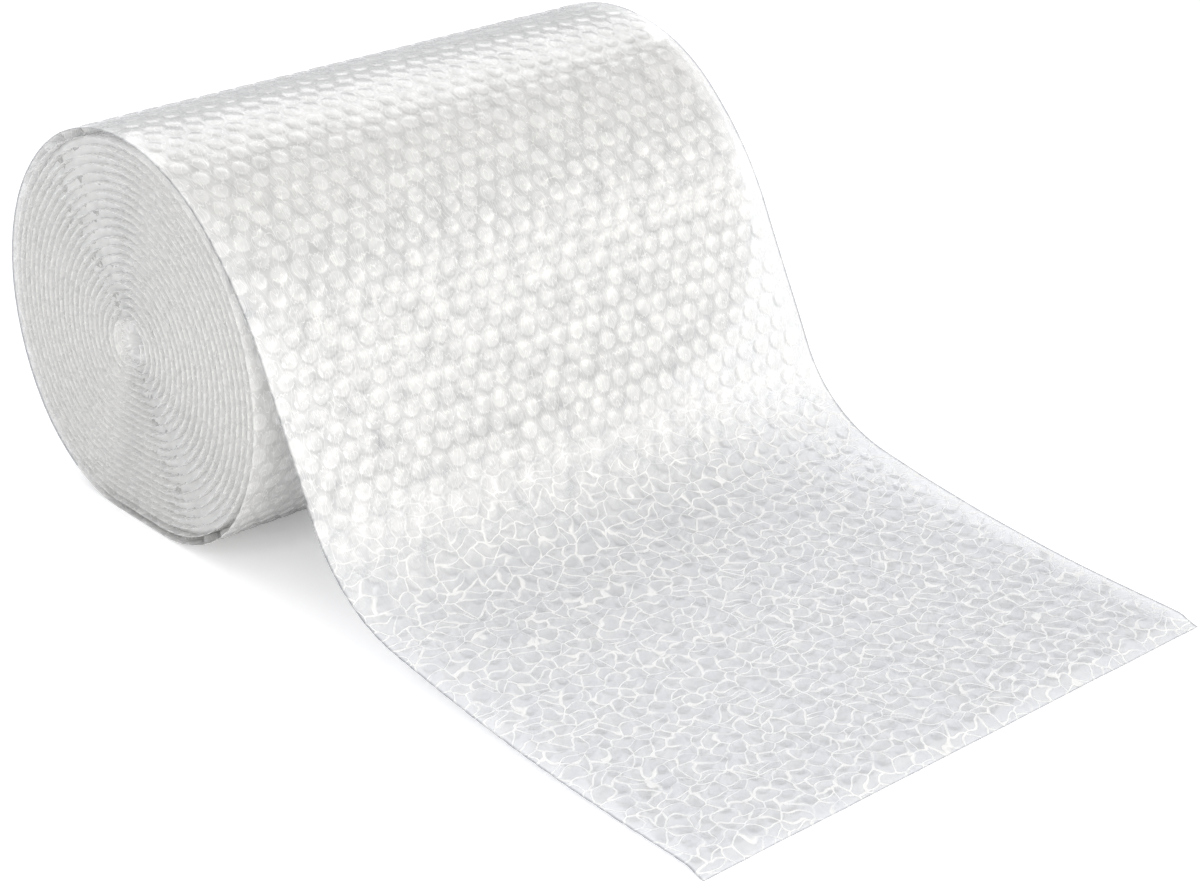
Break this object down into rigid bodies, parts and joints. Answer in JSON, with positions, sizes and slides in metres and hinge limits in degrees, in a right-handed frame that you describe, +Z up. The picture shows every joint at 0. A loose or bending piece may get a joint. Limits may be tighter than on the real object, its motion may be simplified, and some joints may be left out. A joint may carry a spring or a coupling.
{
  "type": "bubble wrap roll",
  "caption": "Roll of clear small-bubble cushioning film with no tube, lying on its side, its loose end drawn out in front over the floor.",
  "frame": {"origin": "middle of the flat spot that the roll rests on, below the roll's axis and midway across the sheet", "axes": "+X along the roll's width, -Y towards the loose end, +Z up"},
  "size_m": [0.3, 0.4859, 0.1914],
  "materials": {
    "film": "clear low-density polyethylene film with air bubbles, milky where it is many turns deep"
  },
  "bodies": {
    "root": {"bubble_wrap_roll": "film"}
  },
  "joints": []
}
